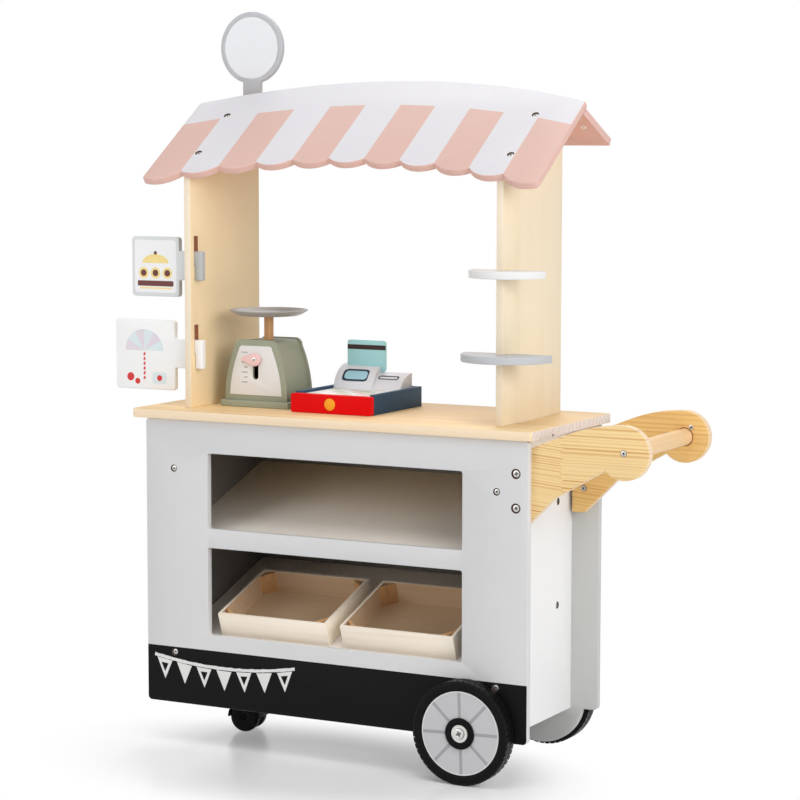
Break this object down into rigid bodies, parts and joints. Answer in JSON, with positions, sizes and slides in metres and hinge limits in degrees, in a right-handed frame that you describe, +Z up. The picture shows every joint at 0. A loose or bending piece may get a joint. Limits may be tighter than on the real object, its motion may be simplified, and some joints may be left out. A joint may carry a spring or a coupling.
{
  "type": "toy market stall",
  "caption": "Wheeled toy market stall: panelled counter with display windows, sloping shelves and crates, striped gable roof on posts, push handle, scale and cash register.",
  "frame": {"origin": "on the floor under the middle of the stall's box", "axes": "+X towards the push handle, +Y from the front to the back, +Z up"},
  "size_m": [0.9904, 0.35, 1.2225],
  "materials": {
    "grey_paint": "light grey satin paint on fibreboard",
    "white_paint": "white satin paint on fibreboard",
    "pale_grey_paint": "grey satin paint",
    "white_board": "white satin paint with a printed motif",
    "counter_wood": "clear-lacquered edge-glued wood",
    "post_wood": "clear-lacquered birch plywood",
    "roof_paint": "white satin paint with pink stripes",
    "pine": "clear-lacquered finger-jointed pine",
    "dowel_wood": "clear-lacquered beech",
    "screw_steel": "zinc-plated steel",
    "tyre_black": "black ribbed rubber",
    "wheel_grey": "grey paint with printed spokes",
    "hub_black": "black moulded plastic",
    "crate_plywood": "raw pale plywood",
    "scale_paint": "sage green satin paint",
    "dial_print": "cream printed card",
    "plunger_wood": "oiled beech",
    "pan_grey": "grey satin paint",
    "pointer_pink": "pink satin paint",
    "spring_steel": "drawn steel wire",
    "register_blue": "dark blue satin paint",
    "register_white": "white print",
    "register_grey": "pale grey satin paint",
    "register_red": "red satin paint",
    "knob_orange": "orange satin paint",
    "card_teal": "pale teal print"
  },
  "bodies": {
    "stall": {"front_panel": "grey_paint", "rear_panel": "grey_paint", "left_side_panel": "white_paint", "right_side_panel": "white_paint", "bottom_board": "white_paint", "lower_display_shelf": "white_paint", "upper_display_shelf": "white_paint", "countertop": "counter_wood", "left_post": "post_wood", "right_post": "post_wood", "front_roof_board": "roof_paint", "rear_roof_board": "roof_paint", "round_sign": "pale_grey_paint", "sign_face": "white_board", "upper_post_shelf": "white_paint", "lower_post_shelf": "pale_grey_paint", "front_handle_arm": "pine", "rear_handle_arm": "pine", "handle_dowel": "dowel_wood", "panel_screws": "screw_steel", "shelf_screws": "screw_steel", "handle_screws": "screw_steel", "roof_screws": "screw_steel", "caster_screws": "screw_steel", "axle_bolts": "screw_steel", "axle_nuts": "screw_steel", "caster_plate_stem": "screw_steel"},
    "front_wheel": {"front_tyre": "tyre_black", "front_wheel_disc": "wheel_grey", "front_hub_ring": "hub_black"},
    "rear_wheel": {"rear_tyre": "tyre_black", "rear_wheel_disc": "wheel_grey", "rear_hub_ring": "hub_black"},
    "caster_fork": {"caster_hood": "hub_black", "caster_axle": "screw_steel"},
    "caster_roller": {"caster_wheels": "hub_black"},
    "upper_menu": {"upper_menu_sign": "pale_grey_paint"},
    "lower_menu": {"lower_menu_sign": "white_board"},
    "crate_left": {"left_crate": "crate_plywood", "left_crate_corners": "crate_plywood"},
    "crate_right": {"right_crate": "crate_plywood", "right_crate_corners": "crate_plywood"},
    "scale": {"scale_base": "scale_paint", "scale_front": "scale_paint", "scale_shell": "scale_paint", "scale_back": "scale_paint", "scale_dial": "dial_print", "scale_spring": "spring_steel"},
    "scale_pan_and_pointer": {"scale_plunger": "plunger_wood", "scale_pan": "pan_grey", "scale_pointer": "pointer_pink", "scale_pointer_screw": "screw_steel"},
    "register": {"register_case": "register_blue", "register_deck": "register_white", "register_housing": "register_grey"},
    "drawer": {"register_drawer": "register_red", "drawer_knob": "knob_orange"},
    "card": {"bank_card": "card_teal"}
  },
  "joints": [
    {"name": "front_wheel_spin", "type": "hinge", "parent": "stall", "child": "front_wheel", "pos_m": [0.19803, 0, 0.083], "axis": [0, 1, 0], "continuous": true},
    {"name": "rear_wheel_spin", "type": "hinge", "parent": "stall", "child": "rear_wheel", "pos_m": [0.19803, 0, 0.083], "axis": [0, 1, 0], "continuous": true},
    {"name": "caster_swivel", "type": "hinge", "parent": "stall", "child": "caster_fork", "pos_m": [-0.30707, 0, 0.06], "axis": [0, 0, 1], "continuous": true},
    {"name": "caster_roll", "type": "hinge", "parent": "caster_fork", "child": "caster_roller", "pos_m": [-0.29123, 0.00223, 0.025], "axis": [-0.1392, 0.9903, 0], "continuous": true},
    {"name": "upper_menu_lift", "type": "slide", "parent": "stall", "child": "upper_menu", "axis": [0, 0, 1], "range_m": [0, 0.025]},
    {"name": "lower_menu_lift", "type": "slide", "parent": "stall", "child": "lower_menu", "axis": [0, 0, 1], "range_m": [0, 0.025]},
    {"name": "left_crate_pull", "type": "slide", "parent": "stall", "child": "crate_left", "axis": [0, -0.9659, 0.2588], "range_m": [0, 0.2]},
    {"name": "right_crate_pull", "type": "slide", "parent": "stall", "child": "crate_right", "axis": [0, -0.9659, 0.2588], "range_m": [0, 0.2]},
    {"name": "scale_lift_off", "type": "slide", "parent": "stall", "child": "scale", "axis": [0, 0, 1], "range_m": [0, 0.15]},
    {"name": "scale_press", "type": "slide", "parent": "scale", "child": "scale_pan_and_pointer", "axis": [0, 0, -1], "range_m": [0, 0.028], "stiffness_N_per_m": 120, "springref_m": -0.03, "deforming": ["scale_spring"]},
    {"name": "register_lift_off", "type": "slide", "parent": "stall", "child": "register", "axis": [0, 0, 1], "range_m": [0, 0.15]},
    {"name": "drawer_slide", "type": "slide", "parent": "register", "child": "drawer", "axis": [0, -1, 0], "range_m": [0, 0.09]},
    {"name": "card_lift", "type": "slide", "parent": "register", "child": "card", "axis": [0, 0, 1], "range_m": [0, 0.05]}
  ]
}
